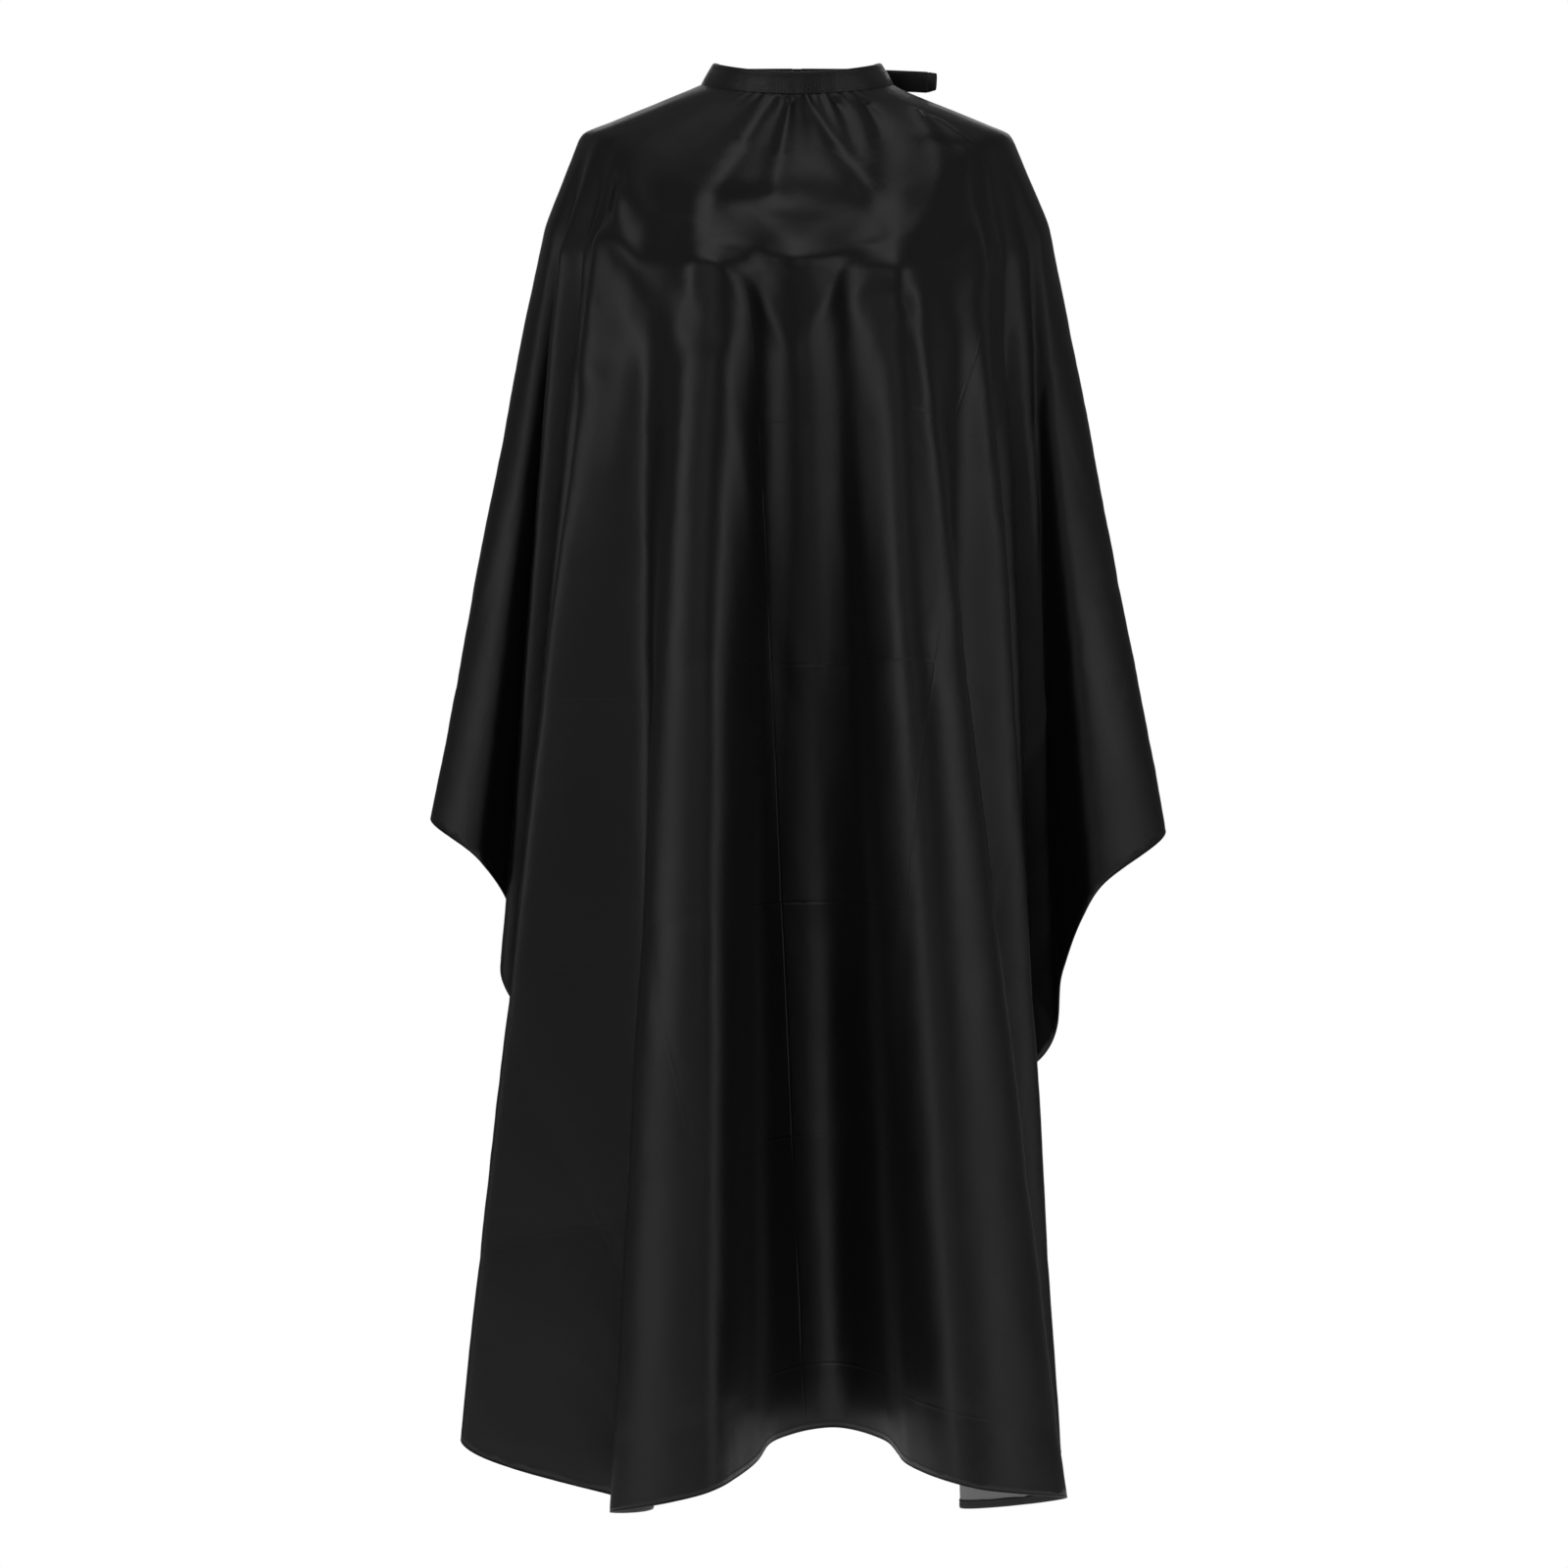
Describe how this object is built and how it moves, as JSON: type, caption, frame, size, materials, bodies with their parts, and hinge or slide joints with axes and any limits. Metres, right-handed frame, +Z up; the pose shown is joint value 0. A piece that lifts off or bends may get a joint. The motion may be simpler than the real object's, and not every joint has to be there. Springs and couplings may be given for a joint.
{
  "type": "barber cape",
  "caption": "Black coated barber cape hanging in folds from a stand-up neckband with a hook-and-loop strap that closes behind the neck.",
  "frame": {"origin": "centre of the neck opening", "axes": "+Z up, -Y towards the front of the wearer, +X towards the wearer's left"},
  "size_m": [0.6509, 0.3322, 1.2782],
  "materials": {
    "cape_fabric": "black polyester taffeta with a satin water-repellent coating",
    "hem_fabric": "the same taffeta turned over and stitched",
    "band_fabric": "black taffeta, doubled and edge-stitched",
    "band_facing": "soft black facing against the neck",
    "interfacing": "white non-woven stiffener",
    "loop_pile": "black loop pile",
    "hook_tape": "black hook tape"
  },
  "bodies": {
    "cape": {"cape_panel": "cape_fabric", "hem_back_right_half": "hem_fabric", "hem_right_side": "hem_fabric", "hem_front": "hem_fabric", "hem_left_side": "hem_fabric", "hem_back_left_half": "hem_fabric", "neckband_outer": "band_fabric", "neckband_facing": "band_facing", "neckband_interfacing": "interfacing", "loop_strip": "loop_pile", "closure_strap_root": "band_fabric"},
    "strap": {"closure_strap": "band_fabric", "hook_patch": "hook_tape"},
    "tail": {"closure_tail": "band_fabric", "tail_fold": "band_fabric", "tail_hook_patch": "hook_tape"}
  },
  "joints": [
    {"name": "closure_peel", "type": "hinge", "parent": "cape", "child": "strap", "pos_m": [-0.01364, 0.07615, 0.01343], "axis": [0, -0.1736, 0.9848], "range_deg": [0, 70]},
    {"name": "tail_flex", "type": "hinge", "parent": "strap", "child": "tail", "pos_m": [0.02942, 0.07172, 0.01265], "axis": [0, -0.1736, 0.9848], "range_deg": [0, 40]}
  ]
}
